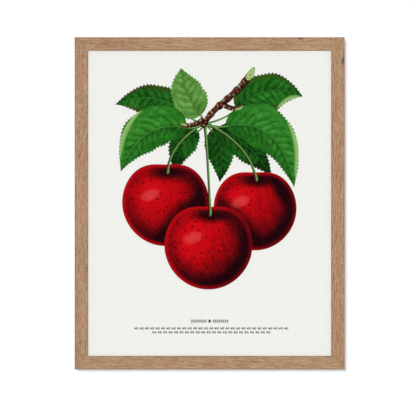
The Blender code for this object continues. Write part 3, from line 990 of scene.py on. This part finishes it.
# %% Place the twig, its spur and its shoot
TWIG_NODES = [(0.10, 0.8), (0.26, 1.5), (0.44, 1.0), (0.60, 1.9), (0.78, 1.2), (0.93, 1.4)]


def twig_width(share):
    """In mm, with a swelling at each node."""
    swellings = sum(height * math.exp(-(((share - place) / 0.030) ** 2)) for place, height in TWIG_NODES)
    return 4.2 + 1.4 * (1 - share) + swellings


def spur_width(share):
    return 4.2 - 1.0 * share + 0.9 * math.sin(18 * share) ** 2


def bud_width(share):
    return 3.4 * math.sin(math.pi * min(1.0, 0.12 + 0.88 * share)) ** 0.8


bud_ink = stalk_ink("ink_bud", screen(150, 178, 116), screen(96, 26, 26))
ribbon("twig", 17, [(64, 206), (40, 168), (6, 160), (-12, 122)], twig_width, bark, steps=120)
ribbon("twig_spur", 18, [(-10, 136), (-18, 126), (-38, 125)], spur_width, bark, steps=40)
ribbon("twig_shoot", 19, [(20, 161), (32, 151), (44, 153)], spur_width, bark, steps=40)
ribbon("bud_on_spur", 20, [(-36, 125), (-42, 124), (-48, 128)], bud_width, bud_ink, steps=24)
ribbon("bud_on_shoot", 20, [(42, 153), (49, 153), (54, 158)], bud_width, bud_ink, steps=24)
print(len(TWIG_NODES), "nodes along the twig")

# %% [markdown]
# The twig was cut slantwise, so its end shows as a pointed oval of pale wood. It has a dark rim of bark, a
# ring, and the pith at its middle. The ink finds them from how far out a spot is in that oval.

# %% The cut end of the twig
cut = ink("ink_cut_wood")
endwise = cut.named("along") * 2 - 1
across = cut.named("side")
out_squared = endwise * endwise + across * across * (1 - endwise * endwise)
cut_stops = [(0.03, screen(150, 132, 84)), (0.10, screen(196, 214, 150)), (0.30, screen(122, 160, 74)),
             (0.42, screen(176, 202, 122)), (0.80, screen(150, 184, 98)), (0.93, screen(58, 40, 24))]
cut.set(Base_Color=cut.shades(out_squared, cut_stops))


def cut_width(share):
    return 5.6 * math.sqrt(max(0.0, 1 - (2 * share - 1) ** 2)) * (1.1 - 0.3 * share) + 0.05


ribbon("twig_cut", 21, [(60, 198), (64, 205), (72, 219)], cut_width, cut, steps=32)
print("twig placed")

# %% [markdown]
# ## The ornament under the picture
# A printed plate has a line or two of small marks under its picture. This one has a printer's ornament: a
# lozenge between two leafy sprigs, over two lines of beads and bars, a pattern as old as stone columns.
# The marks are small separate shapes in one mesh, in a soft black.

# %% Draw the ornament
def marks(name, layer, outlines, finish):
    """Small flat shapes, each a list of (x, z) in mm, in one mesh."""
    places = []
    faces = []
    for outline in outlines:
        faces.append(tuple(range(len(places), len(places) + len(outline))))
        places += outline
    printed(name, layer, places, faces, finish)


def lozenge(x, z, half_width, half_height):
    return [(x - half_width, z), (x, z - half_height), (x + half_width, z), (x, z + half_height)]


def bar(x, z, half_width, half_height):
    left, right, low, high = x - half_width, x + half_width, z - half_height, z + half_height
    return [(left, low), (right, low), (right, high), (left, high)]


GROUP_MM = 8.6
LEAF_STEP_MM = 3.2


def beads_and_bars(z, left, right):
    """Groups of a bead and three bars, with a gap after each, from left to right."""
    shapes = []
    count = round((right - left) / GROUP_MM)
    for i in range(count):
        x = left + (right - left) * i / (count - 0.3)
        shapes.append(lozenge(x + 1.6, z, 1.6, 2.0))
        shapes += [bar(x + step, z, 0.34, 2.0) for step in (3.9, 5.0, 6.1)]
    return shapes


def sprig(start, end, z):
    """A thin stem with small leaves on both sides, from start to end along x."""
    way = math.copysign(1.0, end - start)
    shapes = [bar((start + end) / 2, z, abs(end - start) / 2, 0.22)]
    for i in range(round(abs(end - start) / LEAF_STEP_MM)):
        x = start + way * LEAF_STEP_MM * i
        for side in (-1, 1):
            shapes.append([(x, z), (x + way * 0.5, z + side * 1.9), (x + way * 2.7, z + side * 2.9),
                           (x + way * 2.0, z + side * 0.8)])
    return shapes


TOP_LINE_Z = -189.6
top_line = [lozenge(0, TOP_LINE_Z, 2.6, 3.4)] + sprig(5, 31, TOP_LINE_Z) + sprig(-5, -31, TOP_LINE_Z)
lower_lines = beads_and_bars(-201.3, -121.5, 126) + beads_and_bars(-207.6, -92.5, 97)
soft_black = ink("ink_soft_black")
soft_black.set(Base_Color=screen(66, 68, 64))
marks("ornament", 1, top_line + lower_lines, soft_black)
print(len(top_line), "shapes in the top line and", len(lower_lines), "in the two lower ones")

# %% [markdown]
# ## The back
# Behind is a panel of hardboard, whose rough side carries the print of the wire screen it was pressed on, and
# flecks of fibre. The points and nails are plain rolled steel, the hanger and its screws are plated with
# brass, and the bumpers are black rubber.

# %% Finish the back panel
board = Finish("hardboard")
x, y, z = board.millimetres()
mesh_print = board.math("SINE", x * 3.4) * board.math("SINE", z * 3.4)
fleck = board.noise(x / 1.3, y, z / 2.6, detail=3.0)
dark_shred = board.smooth(board.noise(x / 2.2 + z / 6, y, z / 6 - x / 14, detail=2.0), 0.30, 0.8)
pale_shred = board.smooth(board.noise(x / 7 - z / 12, y, z / 2.4 + x / 8, detail=2.0), 0.40, 0.9)
blotch = board.noise(x / 38, y, z / 38, detail=4.0)
board_tone = 0.46 + fleck * 0.22 + blotch * 0.12 + mesh_print * 0.07 - dark_shred * 0.38 + pale_shred * 0.40
board.set(Base_Color=board.shades(board_tone, [(0.0, screen(84, 58, 38)), (1.0, screen(190, 156, 116))]))
board.set(Roughness=0.85, Normal=board.bump(mesh_print + fleck * 0.3, 0.15 * MM, 0.7))
board.put_on("back_panel")
print("hardboard finished")

# %% [markdown]
# Sheet metal is rolled, so its scratches run one way: noise drawn out along one axis gives them, and a broad
# soft one stains the colour. Rubber is dull and nearly black, with fine pits.

# %% Finish the metal and the rubber
def metal(name, light, dark, roughness):
    """Rolled sheet metal, with a fine brushed grain and faint stains."""
    made = Finish(name)
    x, y, z = made.millimetres()
    brushed = made.noise(x / 0.15, y / 0.15, z / 2.5, detail=2.0)
    stain = made.noise(x / 5, y / 5, z / 5, detail=3.0)
    made.set(Base_Color=made.blend(light, dark, made.smooth(stain + brushed * 0.3, -0.8, 1.4)))
    made.set(Metallic=1.0, Roughness=roughness + brushed * 0.05 + stain * 0.06)
    made.set(Normal=made.bump(brushed, 0.01 * MM, 0.4))
    return made


points = [f"spring_point_{number:02d}" for number in range(1, 11)]
nails = [f"corner_nail_{number}" for number in range(1, 9)]
metal("spring_steel", screen(196, 198, 202), screen(120, 122, 128), 0.36).put_on(*points, *nails)
metal("brassed_steel", screen(218, 182, 118), screen(156, 120, 72), 0.42).put_on(
    "sawtooth_hanger", "hanger_screw_left", "hanger_screw_right")

rubber = Finish("black_rubber")
x, y, z = rubber.millimetres()
pit = rubber.noise(x / 0.3, y / 0.3, z / 0.3)
rubber.set(Base_Color=rubber.blend(screen(44, 42, 40), screen(62, 60, 58), rubber.smooth(pit, -0.5, 1.0)))
rubber.set(Roughness=0.75, Normal=rubber.bump(pit, 0.03 * MM, 0.5))
rubber.put_on("bumper_left", "bumper_right")
print("metal and rubber finished")
